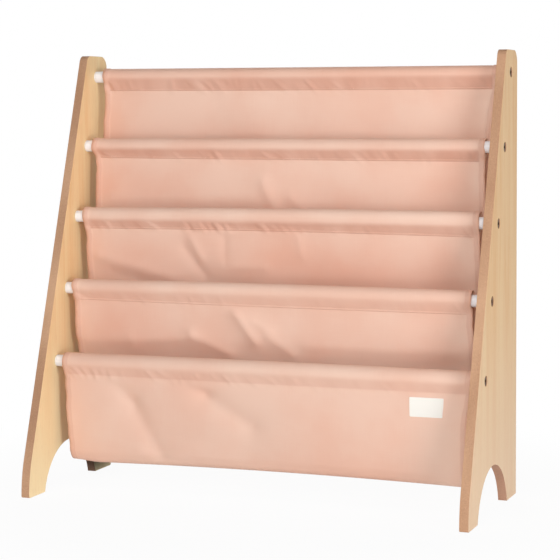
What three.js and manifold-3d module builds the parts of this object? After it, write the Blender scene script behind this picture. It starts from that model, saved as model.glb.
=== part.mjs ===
// Sling bookshelf for a child's room: two wooden side panels, five steel rods bolted between them,
// and a cloth sling that hangs from the rods in four stepped pockets.
// Millimetres, +Z up, +X to the right seen from the front, -Y towards the reader.
// The origin is on the floor, at the middle of the shelf's width and depth.
import * as THREE from 'three';
import { mergeVertices } from 'three/addons/utils/BufferGeometryUtils.js';
import Module from 'manifold-3d';

const wasm = await Module();
wasm.setup();

// Side panels
const shelfWidth = 622;
const panelHeight = 600;
const panelDepth = 251;
const panelTopDepth = 60.5;
const panelThickness = 12;
const kneeHeight = 27;
const kneeBlend = 22;
const frontTopRadius = 11;
const backTopRadius = 17;
const footCornerRadius = 2.5;
const panelEdgeRounding = 0.8;
const frontFootLength = 45.5;
const rearFootLength = 51.5;
const archHeight = 61.5;

// Rods
const rodDiameter = 16;
const rodWall = 1.2;
const topRodBelowTop = 29.7;
const topRodFromBack = 34.7;
const rodStepDown = 98.4;
const rodStepForward = 32.7;

// Rod ends: a nylon plug in each tube end, a brass insert in the plug, a bolt through the panel
const plugCollar = 2;
const plugLength = 24;
const insertDiameter = 9;
const insertLength = 15;
const boltDiameter = 6;
const boltHeadDiameter = 13;
const boltHeadHeight = 3.6;
const boltHeadRounding = 0.6;
const boltThreadLength = 20;
const boltHeadSink = 0.7;
const socketAcrossCorners = 4.6;
const socketDepth = 2.2;
const boltHoleClearance = 0.4;

// Cloth
const clothEndGap = 10;
const clothThickness = 1.2;
const sleeveClearance = 2.4;
const seamDrop = 20;
const seamTail = 2;
const pocketDepth = 141;
const layerSpread = 3.4;
const foldDepth = 3;
const foldWidth = 34;

// Sewn tag on the lowest pocket
const tagWidth = 44;
const tagHeight = 26.5;
const tagThickness = 0.6;
const tagFromClothEdge = 33.5;
const tagBelowSeam = 6;

// Fits and facets
const seatGap = 0.3;
const cutOverrun = 1;
const roundSides = 20;
const smallSides = 12;
const outlineSteps = 10;
const sleeveSteps = 8;
const wallSteps = 6;
const floorSteps = 7;
const wallSamples = 60;
const clothColumns = 13;
const tagColumns = 4;
const tagRows = 3;

// Worked out from the sizes above
const innerSpan = shelfWidth - 2 * panelThickness;
const rodRadius = rodDiameter / 2;
const collarGap = seatGap + plugCollar + seatGap;
const rodLength = innerSpan - 2 * collarGap;
const clothWidth = innerSpan - 2 * clothEndGap;
const sleeveRadius = rodRadius + sleeveClearance + clothThickness / 2;
const layerStep = clothThickness + seatGap;
const fullDrop = rodStepDown + pocketDepth;

// One entry for each rod, top to bottom: how far below the rod the cloth's seam lies, as a share
// of the common drop, and how far behind the rod's middle, as a share of the rods' step forward.
const seamDropShares = [0.97, 0.84, 0.75, 0.77, 0.92];
const seamSwayShares = [-0.09, 0.015, -0.04, -0.09, -0.14];
const rodCount = seamDropShares.length;
const frontRod = rodCount - 1;

// Each sleeve's round lies off its rod's middle, back and up, by these shares of its clearance.
const sleeveShiftShares = [[0.15, 0], [0.62, 0.25], [0.3, 0.87], [0, 0.95], [-0.15, 0.15]];

// Each pocket's back wall: how far down from its rod to the pocket's floor, then pocket by pocket
// how far behind the rod it hangs there, as shares of the rods' step forward.
const backDropShares = [0.17, 0.27, 0.37, 0.47, 0.65, 0.85];
const backSwayShares = [
  [-0.1, -0.12, -0.15, -0.13, -0.07, -0.04],
  [-0.02, -0.03, -0.02, 0, 0.05, 0.07],
  [0.05, 0.15, 0.25, 0.31, 0.37, 0.37],
  [-0.03, 0.09, 0.33, 0.46, 0.55, 0.53],
];

// The front walls, down from their rod to where the floor turns, as shares of the pocket's depth,
// and how far behind the rod the lowest one hangs there, as shares of the rods' step forward.
const frontDropShares = [0.3, 0.52, 0.74, 0.89];
const frontSwayShares = [-0.12, -0.06, 0, 0.06];

// The pocket's floor: shares of the way from front wall to back wall, and of the pocket's depth.
const floorShares = [[0.13, 0.975], [0.36, 1], [0.62, 0.99], [0.86, 0.93]];

// Main folds of the cloth below each rod, from the left hem to the right one. Each runs from one point
// to another: across as shares of the cloth's width, down as shares of the pocket's depth,
// then the share of the common fold depth, with a minus sign for a valley.
const foldShares = [
  [[-0.19, 0.24, -0.19, 0.59, -0.3], [-0.08, 0.24, -0.08, 0.59, 0.3], [0.44, 0.2, 0.38, 0.6, -0.4]],
  [[-0.1, 0.36, -0.05, 0.66, -0.8], [-0.04, 0.3, 0.02, 0.62, 0.7], [0.42, 0.22, 0.34, 0.62, -0.4]],
  [[-0.46, 0.29, -0.3, 0.54, 0.8], [-0.4, 0.5, -0.33, 0.6, -0.7], [-0.23, 0.3, -0.18, 0.56, -0.8]],
  [[-0.08, 0.15, -0.03, 0.45, 1], [-0.03, 0.42, 0.02, 0.6, -0.8], [0.03, 0.36, 0.07, 0.58, 0.5]],
  [[-0.36, 0.2, -0.25, 0.86, -1], [-0.16, 0.16, -0.01, 0.54, -0.9], [-0.1, 0.7, 0.1, 0.84, -0.4]],
];

const wood = { color: 0xe8cda4, roughness: 0.55, metalness: 0 };
const whiteSteel = { color: 0xf3f1ee, roughness: 0.35, metalness: 0 };
const nylon = { color: 0xf1efec, roughness: 0.45, metalness: 0 };
const brass = { color: 0xb9964e, roughness: 0.35, metalness: 1 };
const bronzeSteel = { color: 0x6e4e2e, roughness: 0.45, metalness: 0.9 };
const canvas = { color: 0xe9b9a2, roughness: 0.85, metalness: 0 };
const tagCloth = { color: 0xf4eee2, roughness: 0.8, metalness: 0 };

function piece(name, geometry, finish) {
  const mesh = new THREE.Mesh(geometry, new THREE.MeshStandardMaterial(finish));
  mesh.name = name;
  return mesh;
}

function toSolid(geometry) {
  const bare = geometry.clone();
  bare.deleteAttribute('normal');
  bare.deleteAttribute('uv');
  const merged = mergeVertices(bare);
  return new wasm.Manifold(new wasm.Mesh({
    numProp: 3,
    vertProperties: new Float32Array(merged.attributes.position.array),
    triVerts: new Uint32Array(merged.index.array),
  }));
}

function toGeometry(solid) {
  const mesh = solid.getMesh();
  const geometry = new THREE.BufferGeometry();
  geometry.setAttribute('position', new THREE.BufferAttribute(new Float32Array(mesh.vertProperties), 3));
  geometry.setIndex(new THREE.BufferAttribute(new Uint32Array(mesh.triVerts), 1));
  geometry.computeVertexNormals();
  return geometry;
}

// A turned piece: its profile is pairs of distance along X and radius.
function turned(profile, sides) {
  const points = profile.map(([along, radius]) => new THREE.Vector2(radius, along));
  return new THREE.LatheGeometry(points, sides).rotateZ(-Math.PI / 2);
}

// The rod's middle in the side view: x holds depth (Y), y holds height (Z).
function rodCentre(rod) {
  return new THREE.Vector2(
    panelDepth / 2 - topRodFromBack - rod * rodStepForward,
    panelHeight - topRodBelowTop - rod * rodStepDown,
  );
}

// A side panel seen from the side: sloping front edge, rounded top, and an arch between two feet.
function panelOutline() {
  const front = -panelDepth / 2;
  const back = panelDepth / 2;
  const topFront = back - panelTopDepth;
  const slope = new THREE.Vector2(topFront - front, panelHeight - kneeHeight).normalize();
  const archSpan = panelDepth - frontFootLength - rearFootLength;
  const archRadius = (archSpan * archSpan / 4 + archHeight * archHeight) / (2 * archHeight);
  const archMiddle = front + frontFootLength + archSpan / 2;
  const archFoot = Math.asin((archRadius - archHeight) / archRadius);
  const outline = new THREE.Shape();
  outline.moveTo(front + footCornerRadius, 0);
  outline.lineTo(archMiddle - archSpan / 2, 0);
  outline.absarc(archMiddle, archHeight - archRadius, archRadius, Math.PI - archFoot, archFoot, true);
  outline.lineTo(back - footCornerRadius, 0);
  outline.absarc(back - footCornerRadius, footCornerRadius, footCornerRadius, -Math.PI / 2, 0, false);
  outline.lineTo(back, panelHeight - backTopRadius);
  outline.absarc(back - backTopRadius, panelHeight - backTopRadius, backTopRadius, 0, Math.PI / 2, false);
  const lean = Math.atan2(slope.x, slope.y);
  const cornerRun = frontTopRadius * Math.tan((Math.PI / 2 - lean) / 2);
  const cornerX = topFront + cornerRun;
  outline.absarc(cornerX, panelHeight - frontTopRadius, frontTopRadius, Math.PI / 2, Math.PI - lean, false);
  outline.lineTo(front + slope.x * kneeBlend, kneeHeight + slope.y * kneeBlend);
  outline.quadraticCurveTo(front, kneeHeight, front, kneeHeight - kneeBlend);
  outline.lineTo(front, footCornerRadius);
  outline.absarc(front + footCornerRadius, footCornerRadius, footCornerRadius, Math.PI, Math.PI * 1.5, false);
  return outline;
}

// One panel centred on its own thickness, with a stepped hole for each bolt sunk from the outer face.
function panelGeometry(outward) {
  const blank = new THREE.ExtrudeGeometry(panelOutline(), {
    depth: panelThickness - 2 * panelEdgeRounding,
    bevelEnabled: true,
    bevelThickness: panelEdgeRounding,
    bevelSize: panelEdgeRounding,
    bevelOffset: -panelEdgeRounding,
    bevelSegments: 1,
    curveSegments: outlineSteps,
  });
  blank.translate(0, 0, panelEdgeRounding - panelThickness / 2);
  blank.applyMatrix4(new THREE.Matrix4().makeBasis(
    new THREE.Vector3(0, 1, 0),
    new THREE.Vector3(0, 0, 1),
    new THREE.Vector3(1, 0, 0),
  ));
  const faceX = panelThickness / 2;
  const shelfX = faceX - boltHeadSink - boltHeadHeight - seatGap;
  const headHole = boltHeadDiameter / 2 + seatGap;
  const shankHole = boltDiameter / 2 + boltHoleClearance;
  const drill = turned([
    [-faceX - cutOverrun, 0],
    [-faceX - cutOverrun, shankHole],
    [shelfX, shankHole],
    [shelfX, headHole],
    [faceX + cutOverrun, headHole],
    [faceX + cutOverrun, 0],
  ], smallSides);
  if (outward < 0) drill.rotateZ(Math.PI);
  let solid = toSolid(blank);
  for (let rod = 0; rod < rodCount; rod += 1) {
    const centre = rodCentre(rod);
    solid = solid.subtract(toSolid(drill.clone().translate(0, centre.x, centre.y)));
  }
  return toGeometry(solid);
}

// The tube that a sleeve hangs on, open at both ends.
function rodGeometry() {
  const end = rodLength / 2;
  const bore = rodRadius - rodWall;
  return turned([[-end, bore], [-end, rodRadius], [end, rodRadius], [end, bore], [-end, bore]], roundSides);
}

// The rod-end pieces are drawn for the right end. Their X is counted from the panel's inner face.
function plugGeometry() {
  const stem = rodRadius - rodWall - seatGap;
  const bore = insertDiameter / 2 + seatGap;
  const face = -seatGap;
  const collarBack = face - plugCollar;
  const end = face - plugLength;
  return turned([
    [end, bore], [end, stem], [collarBack, stem], [collarBack, rodRadius],
    [face, rodRadius], [face, bore], [end, bore],
  ], smallSides);
}

function insertGeometry() {
  const bore = boltDiameter / 2 + seatGap;
  const face = -2 * seatGap;
  const end = face - insertLength;
  return turned([
    [end, bore], [end, insertDiameter / 2], [face, insertDiameter / 2], [face, bore], [end, bore],
  ], smallSides);
}

function boltGeometry() {
  const headTop = panelThickness - boltHeadSink;
  const headUnder = headTop - boltHeadHeight;
  const headRadius = boltHeadDiameter / 2;
  const shank = boltDiameter / 2;
  const tip = headUnder - boltThreadLength;
  const body = toSolid(turned([
    [tip, 0], [tip, shank - boltHeadRounding], [tip + boltHeadRounding, shank], [headUnder, shank],
    [headUnder, headRadius], [headTop - boltHeadRounding, headRadius],
    [headTop, headRadius - boltHeadRounding], [headTop, 0],
  ], smallSides));
  const socket = new THREE.CylinderGeometry(
    socketAcrossCorners / 2, socketAcrossCorners / 2, socketDepth + cutOverrun, 6,
  );
  socket.rotateZ(-Math.PI / 2);
  socket.translate(headTop + (cutOverrun - socketDepth) / 2, 0, 0);
  return toGeometry(body.subtract(toSolid(socket)));
}

// How far a rod's seam lies below its middle.
function seamBelow(rod) {
  return seamDropShares[rod] * seamDrop;
}

// How far the cloth below a rod stands towards the reader at a place across and down from the rod.
function foldAt(rod, across, down) {
  const tag = rod === frontRod ? tagFlatness(across, down) : 1;
  let rise = 0;
  for (const [startX, startDown, endX, endDown, depth] of foldShares[rod]) {
    const start = new THREE.Vector2(startX * clothWidth, startDown * pocketDepth);
    const run = new THREE.Vector2(endX * clothWidth, endDown * pocketDepth).sub(start);
    const here = new THREE.Vector2(across, down).sub(start);
    const along = THREE.MathUtils.clamp(here.dot(run) / run.lengthSq(), 0, 1);
    const off = here.addScaledVector(run, -along).length() / foldWidth;
    rise += depth * foldDepth * Math.exp(-off * off);
  }
  const easeIn = THREE.MathUtils.smoothstep(down, seamBelow(rod), 2 * seamBelow(rod));
  const easeOut = 1 - THREE.MathUtils.smoothstep(down, frontDropShares.at(-1) * pocketDepth, pocketDepth);
  return rise * easeIn * easeOut * tag;
}

// Folds die away round the tag, which is sewn down flat.
function tagFlatness(across, down) {
  const middle = new THREE.Vector2(
    clothWidth / 2 - tagFromClothEdge - tagWidth / 2,
    seamBelow(frontRod) + tagBelowSeam + tagHeight / 2,
  );
  const off = new THREE.Vector2(across, down).sub(middle).length();
  return THREE.MathUtils.smoothstep(off, tagWidth / 2, tagWidth);
}

// Where a line from a point outside the sleeve's round touches it: side is -1 behind, +1 in front.
function touchAngle(point, side) {
  const bearing = Math.atan2(point.y, point.x);
  const spread = Math.acos(sleeveRadius / point.length());
  return bearing - side * spread;
}

function seamPoint(rod, layer) {
  const centre = rodCentre(rod);
  return new THREE.Vector2(
    centre.x + seamSwayShares[rod] * rodStepForward + layer * layerStep,
    centre.y - seamBelow(rod),
  );
}

// A station is a point of the cloth's middle layer, with the rod it hangs below, for its folds.
function station(point, rod, folds) {
  return { point, rod, folds };
}

// The middle of a sleeve's round. The loop is looser than the rod, so it lies a little off the rod's.
function sleeveCentre(rod) {
  const [back, up] = sleeveShiftShares[rod];
  return rodCentre(rod).add(new THREE.Vector2(back, up).multiplyScalar(sleeveClearance));
}

// Up behind the rod, over it and down its front to the seam.
function sleevePath(rod) {
  const centre = sleeveCentre(rod);
  const behind = seamPoint(rod, 1);
  const front = seamPoint(rod, 0);
  const startAngle = touchAngle(behind.clone().sub(centre), -1);
  let endAngle = touchAngle(front.clone().sub(centre), 1);
  while (endAngle < startAngle) endAngle += 2 * Math.PI;
  const path = [station(new THREE.Vector2(behind.x, behind.y - seamTail), rod, 0), station(behind, rod, 0)];
  for (let step = 0; step <= sleeveSteps; step += 1) {
    const angle = startAngle + (endAngle - startAngle) * step / sleeveSteps;
    const point = new THREE.Vector2(Math.cos(angle), Math.sin(angle)).multiplyScalar(sleeveRadius);
    path.push(station(point.add(centre), rod, 0));
  }
  path.push(station(front, rod, 0));
  return path;
}

// The line of a pocket's back wall, from the seam of its rod down to where the floor turns.
function backWallPoints(pocket) {
  const centre = rodCentre(pocket);
  const points = [seamPoint(pocket, 0)];
  backDropShares.forEach((drop, index) => {
    const sway = backSwayShares[pocket][index] * rodStepForward;
    points.push(new THREE.Vector2(centre.x + sway, centre.y - drop * fullDrop));
  });
  return points;
}

// The place on a wall's line at one height.
function onWall(points, height) {
  const line = new THREE.SplineCurve(points).getPoints(wallSamples);
  return line.reduce((best, point) => (
    Math.abs(point.y - height) < Math.abs(best.y - height) ? point : best
  ));
}

// The lowest pocket's front wall hangs free from the front rod.
function freeFrontWall() {
  const centre = rodCentre(frontRod);
  const points = frontDropShares.map((drop, index) => new THREE.Vector2(
    centre.x + frontSwayShares[index] * rodStepForward,
    centre.y - drop * pocketDepth,
  ));
  return [seamPoint(frontRod, 0), ...points];
}

// Every other front wall hangs just behind the next pocket's back wall.
function backedFrontWall(rod) {
  const centre = rodCentre(rod);
  const ahead = backWallPoints(rod);
  const top = seamPoint(rod, 2);
  const points = frontDropShares.map((drop, index) => {
    const near = onWall(ahead, centre.y - drop * pocketDepth);
    const spread = layerStep + layerSpread * Math.min(1, (index + 1) / 2);
    return new THREE.Vector2(near.x + spread, near.y);
  });
  return [new THREE.Vector2(top.x, top.y - clothThickness), ...points];
}

function frontWallPoints(pocket) {
  const rod = pocket + 1;
  return rod === frontRod ? freeFrontWall() : backedFrontWall(rod);
}

function floorPoints(pocket) {
  const low = frontWallPoints(pocket).at(-1);
  const nextRod = rodCentre(pocket + 1);
  const back = backWallPoints(pocket).at(-1);
  return floorShares.map(([across, down]) => new THREE.Vector2(
    low.x + across * (back.x - low.x),
    nextRod.y - down * pocketDepth,
  ));
}

function evenly(points, steps) {
  return new THREE.SplineCurve(points).getSpacedPoints(steps);
}

// The whole run of one pocket: sleeve, back wall, floor and front wall, and the lowest pocket's
// second sleeve round the front rod.
function pocketPath(pocket) {
  const back = backWallPoints(pocket);
  const floor = floorPoints(pocket).reverse();
  const front = frontWallPoints(pocket).reverse();
  const nextRod = pocket + 1;
  const path = sleevePath(pocket);
  path.pop();
  evenly(back, wallSteps).forEach((point) => path.push(station(point, pocket, 1)));
  const turn = evenly([back.at(-1), ...floor, front[0]], floorSteps);
  turn.slice(1).forEach((point) => path.push(station(point, nextRod, 1)));
  evenly(front, frontDropShares.length).slice(1).forEach((point) => path.push(station(point, nextRod, 1)));
  if (nextRod === frontRod) {
    const sleeve = sleevePath(nextRod).reverse();
    sleeve.slice(1).forEach((stop) => path.push(stop));
  }
  return path;
}

// The middle layer at one station and one place across, with the fold's rise towards the reader.
function clothPoint(stop, across) {
  const down = rodCentre(stop.rod).y - stop.point.y;
  const rise = stop.folds * foldAt(stop.rod, across, down);
  return new THREE.Vector3(across, stop.point.x - rise, stop.point.y);
}

// A closed sheet of even thickness along a path of stations, with square edges.
function sheetGeometry(path, left, right, columns, thickness) {
  const rows = path.length;
  const corners = [];
  for (const face of [-1, 1]) {
    for (let row = 0; row < rows; row += 1) {
      const before = path[Math.max(row - 1, 0)].point;
      const after = path[Math.min(row + 1, rows - 1)].point;
      const run = after.clone().sub(before).normalize();
      for (let column = 0; column <= columns; column += 1) {
        const across = left + (right - left) * column / columns;
        const middle = clothPoint(path[row], across);
        middle.y -= face * run.y * thickness / 2;
        middle.z += face * run.x * thickness / 2;
        corners.push(middle.x, middle.y, middle.z);
      }
    }
  }
  const at = (face, row, column) => (face * rows + row) * (columns + 1) + column;
  const triangles = [];
  const quad = (a, b, c, d) => triangles.push(a, b, c, a, c, d);
  for (let row = 0; row < rows - 1; row += 1) {
    for (let column = 0; column < columns; column += 1) {
      quad(at(0, row, column), at(0, row + 1, column), at(0, row + 1, column + 1), at(0, row, column + 1));
      quad(at(1, row, column), at(1, row, column + 1), at(1, row + 1, column + 1), at(1, row + 1, column));
    }
    quad(at(0, row, 0), at(1, row, 0), at(1, row + 1, 0), at(0, row + 1, 0));
    quad(at(0, row, columns), at(0, row + 1, columns), at(1, row + 1, columns), at(1, row, columns));
  }
  for (let column = 0; column < columns; column += 1) {
    const end = rows - 1;
    quad(at(0, 0, column), at(0, 0, column + 1), at(1, 0, column + 1), at(1, 0, column));
    quad(at(0, end, column), at(1, end, column), at(1, end, column + 1), at(0, end, column + 1));
  }
  const geometry = new THREE.BufferGeometry();
  geometry.setAttribute('position', new THREE.Float32BufferAttribute(corners, 3));
  geometry.setIndex(triangles);
  return geometry;
}

// The stitched band that closes a sleeve, joining its front layer to its tail.
function seamBand(rod) {
  const front = seamPoint(rod, 0);
  const band = new THREE.BoxGeometry(clothWidth - 2 * clothThickness, layerStep, seamTail);
  return band.translate(0, front.x + layerStep / 2, front.y - seamTail / 2);
}

function pocketGeometry(pocket) {
  const half = clothWidth / 2;
  const sheet = sheetGeometry(pocketPath(pocket), -half, half, clothColumns, clothThickness);
  let solid = toSolid(sheet).add(toSolid(seamBand(pocket)));
  if (pocket + 1 === frontRod) solid = solid.add(toSolid(seamBand(frontRod)));
  return toGeometry(solid);
}

// The tag follows the lowest pocket's front wall, just clear of the cloth.
function tagGeometry() {
  const top = rodCentre(frontRod).y - seamBelow(frontRod) - tagBelowSeam;
  const wall = freeFrontWall();
  const lift = clothThickness / 2 + seatGap + tagThickness / 2;
  const path = [];
  for (let row = 0; row <= tagRows; row += 1) {
    const near = onWall(wall, top - tagHeight * row / tagRows);
    path.push(station(new THREE.Vector2(near.x - lift, near.y), frontRod, 1));
  }
  const right = clothWidth / 2 - tagFromClothEdge;
  return sheetGeometry(path, right - tagWidth, right, tagColumns, tagThickness);
}

const shelf = new THREE.Group();

for (const [side, outward] of [['left', -1], ['right', 1]]) {
  const panel = piece(`side_panel_${side}`, panelGeometry(outward), wood);
  panel.position.x = outward * (innerSpan + panelThickness) / 2;
  shelf.add(panel);
}

for (let rod = 0; rod < rodCount; rod += 1) {
  const centre = rodCentre(rod);
  const level = new THREE.Group();
  level.position.set(0, centre.x, centre.y);
  level.add(piece(`rod_${rod + 1}`, rodGeometry(), whiteSteel));
  for (const [side, outward] of [['left', -1], ['right', 1]]) {
    const end = new THREE.Group();
    end.position.x = outward * innerSpan / 2;
    end.rotation.z = outward < 0 ? Math.PI : 0;
    end.add(piece(`rod_plug_${side}_${rod + 1}`, plugGeometry(), nylon));
    end.add(piece(`threaded_insert_${side}_${rod + 1}`, insertGeometry(), brass));
    end.add(piece(`bolt_${side}_${rod + 1}`, boltGeometry(), bronzeSteel));
    level.add(end);
  }
  shelf.add(level);
}

for (let pocket = 0; pocket < frontRod; pocket += 1) {
  shelf.add(piece(`pocket_cloth_${pocket + 1}`, pocketGeometry(pocket), canvas));
}
shelf.add(piece('sewn_tag', tagGeometry(), tagCloth));

export default shelf;
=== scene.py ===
# %% [markdown]
# # A sling bookshelf for a child's room
# Two wooden side panels carry five white steel rods, and a pink canvas sling hangs from the rods in four
# stepped pockets. This lesson dresses the shelf around its imported CAD model: every piece is placed from
# the model's own boxes, and only the cloth's folds and its patches of tone, painted light and shade are
# given one by one.

# %% Load the frame
import math

import bmesh
import bpy
from mathutils import Matrix, Vector, noise


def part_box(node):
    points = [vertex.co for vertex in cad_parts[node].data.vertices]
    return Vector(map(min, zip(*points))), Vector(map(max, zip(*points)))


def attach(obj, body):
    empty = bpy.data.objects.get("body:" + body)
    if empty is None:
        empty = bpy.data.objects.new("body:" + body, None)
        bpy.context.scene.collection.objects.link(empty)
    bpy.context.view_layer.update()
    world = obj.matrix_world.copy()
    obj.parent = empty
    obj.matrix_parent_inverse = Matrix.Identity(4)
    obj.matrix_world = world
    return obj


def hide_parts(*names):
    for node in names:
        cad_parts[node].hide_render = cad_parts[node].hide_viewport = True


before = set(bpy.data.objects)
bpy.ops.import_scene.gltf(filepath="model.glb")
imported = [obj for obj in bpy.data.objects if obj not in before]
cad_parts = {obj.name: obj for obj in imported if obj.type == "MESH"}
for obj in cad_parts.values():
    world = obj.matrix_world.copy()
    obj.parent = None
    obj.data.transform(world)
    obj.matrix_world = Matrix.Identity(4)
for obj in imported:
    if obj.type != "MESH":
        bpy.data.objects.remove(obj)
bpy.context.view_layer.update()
print("CAD nodes:", len(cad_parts))

# %% [markdown]
# Everything below works in metres, so the small sizes of a shelf are written in millimetres times
# one value. The rods' middles, the panels' faces and the cloth's edges come from the frame, so every
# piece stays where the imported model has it.

# %% Sizes of the shelf
MM = 0.001
SIDES = {"left": -1, "right": 1}
LEVELS = range(1, 6)
FRONT_ROD = len(LEVELS) - 1


def middle(node):
    low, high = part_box(node)
    return (low + high) / 2


rods = [middle(f"rod_{level}") for level in LEVELS]
rod_radius = (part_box("rod_1")[1].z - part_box("rod_1")[0].z) / 2
rod_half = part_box("rod_1")[1].x
step_down = rods[0].z - rods[1].z
step_forward = rods[0].y - rods[1].y
panel_low, panel_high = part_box("side_panel_right")
cloth_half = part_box("pocket_cloth_1")[1].x
print("rod radius", round(rod_radius / MM, 1), "mm, cloth width", round(2 * cloth_half / MM), "mm")

# %% [markdown]
# The photograph was taken with a long lens from the right of the shelf and a little below the top
# rod. A camera could be tried by hand, but the lens then hides errors in the place, so the place,
# the turn and the lens were worked out together from the panels' corners and the rods. The lens is
# also shifted a little, because the photograph shows a part below the middle of what it saw.

# %% Camera
CAMERA_PLACE = Vector((0.8864, -2.3037, 0.5214))
CAMERA_YAW = math.radians(20.672)
CAMERA_PITCH = math.radians(3.536)
CAMERA_ROLL = math.radians(-0.269)
LENS = 118.29
LENS_SHIFT = -0.1


def add_camera():
    lens = bpy.data.cameras.new("camera")
    lens.lens = LENS
    lens.shift_y = LENS_SHIFT
    camera = bpy.data.objects.new("camera", lens)
    bpy.context.scene.collection.objects.link(camera)
    turn = Matrix.Rotation(CAMERA_YAW, 4, "Z") @ Matrix.Rotation(math.pi / 2 - CAMERA_PITCH, 4, "X")
    turn = turn @ Matrix.Rotation(CAMERA_ROLL, 4, "Z")
    camera.matrix_world = Matrix.Translation(CAMERA_PLACE) @ turn
    bpy.context.scene.camera = camera


add_camera()
print("camera with a lens of", LENS, "mm,", round(CAMERA_PLACE.length, 2), "m from the origin")

# %% [markdown]
# A shader's maths reads badly as a list of nodes and links. Here one small class wraps a socket, so
# that `1 - mask * 0.3` adds the Math nodes by itself, and one method adds every other kind of node.
# Colours are written as the eye sees them, from 0 to 255, and turned into the linear values that
# the shader needs.

# %% A socket that takes Python's arithmetic
class Wire:
    """One output of a tree's nodes. Arithmetic on it adds Math nodes."""

    def __init__(self, nodes, socket):
        self.nodes = nodes
        self.socket = socket

    def math(self, operation, *values):
        return self.nodes.node("ShaderNodeMath", {"operation": operation}, dict(enumerate(values)))

    def __add__(self, other):
        return self.math("ADD", self, other)

    def __sub__(self, other):
        return self.math("SUBTRACT", self, other)

    def __rsub__(self, other):
        return self.math("SUBTRACT", other, self)

    def __mul__(self, other):
        return self.math("MULTIPLY", self, other)

    def __abs__(self):
        return self.math("ABSOLUTE", self)

    __radd__ = __add__
    __rmul__ = __mul__

    def wave(self, gap):
        """From -1 to 1 and back, once for every gap."""
        return self.math("SINE", self * (2 * math.pi / gap))

    def between(self, low, high):
        """0 below low, 1 above high and a smooth rise from one to the other."""
        return self.nodes.node(
            "ShaderNodeMapRange",
            {"interpolation_type": "SMOOTHSTEP"},
            {"Value": self, "From Min": low, "From Max": high},
        )


# %% Any node of a tree
class Nodes:
    """The tree of a material or of the world, with one method that adds any node to it."""

    def __init__(self, tree):
        self.tree = tree

    def feed(self, socket, value):
        if isinstance(value, Wire):
            self.tree.links.new(value.socket, socket)
        else:
            socket.default_value = value

    def node(self, kind, settings=None, inputs=None, output=0):
        made = self.tree.nodes.new(kind)
        for name, value in (settings or {}).items():
            setattr(made, name, value)
        for name, value in (inputs or {}).items():
            self.feed(made.inputs[name], value)
        return Wire(self, made.outputs[output])


# %% A material
def linear(red, green, blue):
    """An sRGB colour from 0 to 255 as the shader's linear one."""
    shares = [value / 255 for value in (red, green, blue)]
    return (*[s / 12.92 if s < 0.04045 else ((s + 0.055) / 1.055) ** 2.4 for s in shares], 1)


class Finish(Nodes):
    """One material: its Principled shader with constant values, and the patterns that feed it."""

    def __init__(self, name, **constants):
        self.material = bpy.data.materials.new(name)
        self.material.use_nodes = True
        super().__init__(self.material.node_tree)
        self.shader = self.tree.nodes["Principled BSDF"]
        for socket, value in constants.items():
            self.shader.inputs[socket.replace("_", " ")].default_value = value

    def place(self, stretch=(1, 1, 1), source="Object"):
        """Coordinates in metres, stretched so that a pattern's size is one over the stretch."""
        coordinates = self.node("ShaderNodeTexCoord", output=source)
        return self.node("ShaderNodeMapping", None, {"Vector": coordinates, "Scale": stretch})

    def clouds(self, place, detail=3, rough=0.5, warp=0):
        """Noise from 0 to 1, one cloud to a unit of the place."""
        inputs = {"Vector": place, "Scale": 1, "Detail": detail, "Roughness": rough, "Distortion": warp}
        return self.node("ShaderNodeTexNoise", None, inputs)

    def blend(self, share, first, second, kind="MIX"):
        settings = {"data_type": "RGBA", "blend_type": kind}
        return self.node("ShaderNodeMix", settings, {0: share, 6: first, 7: second}, output=2)

    def parts(self, vector):
        return [self.node("ShaderNodeSeparateXYZ", None, {0: vector}, output=n) for n in range(3)]

    def bump(self, height, depth):
        """Height from 0 to 1 as a relief of that depth in metres."""
        inputs = {"Height": height, "Distance": depth}
        self.feed(self.shader.inputs["Normal"], self.node("ShaderNodeBump", None, inputs))

    def colour(self, value):
        self.feed(self.shader.inputs["Base Color"], value)

    def roughness(self, value):
        self.feed(self.shader.inputs["Roughness"], value)


def show(*materials):
    for material in materials:
        print("made", material.name, "with", len(material.node_tree.nodes), "nodes")


# %% [markdown]
# The panels are pale board with fine upright grain and a brown core that shows on every sawn edge.
# A picture of wood would need an image, so the grain is noise: stretched along the height, it makes fibres,
# and a broad slow noise makes the boards' tone drift. The shader picks face or edge by how far the surface
# turns from the panel's side, and the rounded arris between them is browner. A few tints follow the
# photograph, and they are painted light and shade: the faces are painted paler near the floor, as light
# bounced up from it, the right board is painted a little darker than the left one, as shade, and so is the
# sawn edge inside the arch.

# %% Wood: colours and patterns
FACE_PALE = linear(255, 226, 178)
FACE_DEEP = linear(248, 207, 153)
FACE_PORE = linear(196, 148, 98)
# Painted shade: the right board's faces are a little darker.
RIGHT_BOARD_SHADE = linear(247, 240, 240)
# Painted light: the faces are paler near the floor, as light bounced up from it.
LEFT_FLOOR_LIGHT = linear(255, 240, 196)
RIGHT_FLOOR_LIGHT = linear(255, 232, 203)
FLOOR_LIGHT_SHARE = 0.6
FLOOR_LIGHT_HEIGHTS = (0, 320 * MM)
EDGE_PALE = linear(218, 174, 140)
EDGE_DEEP = linear(180, 136, 106)
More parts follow.
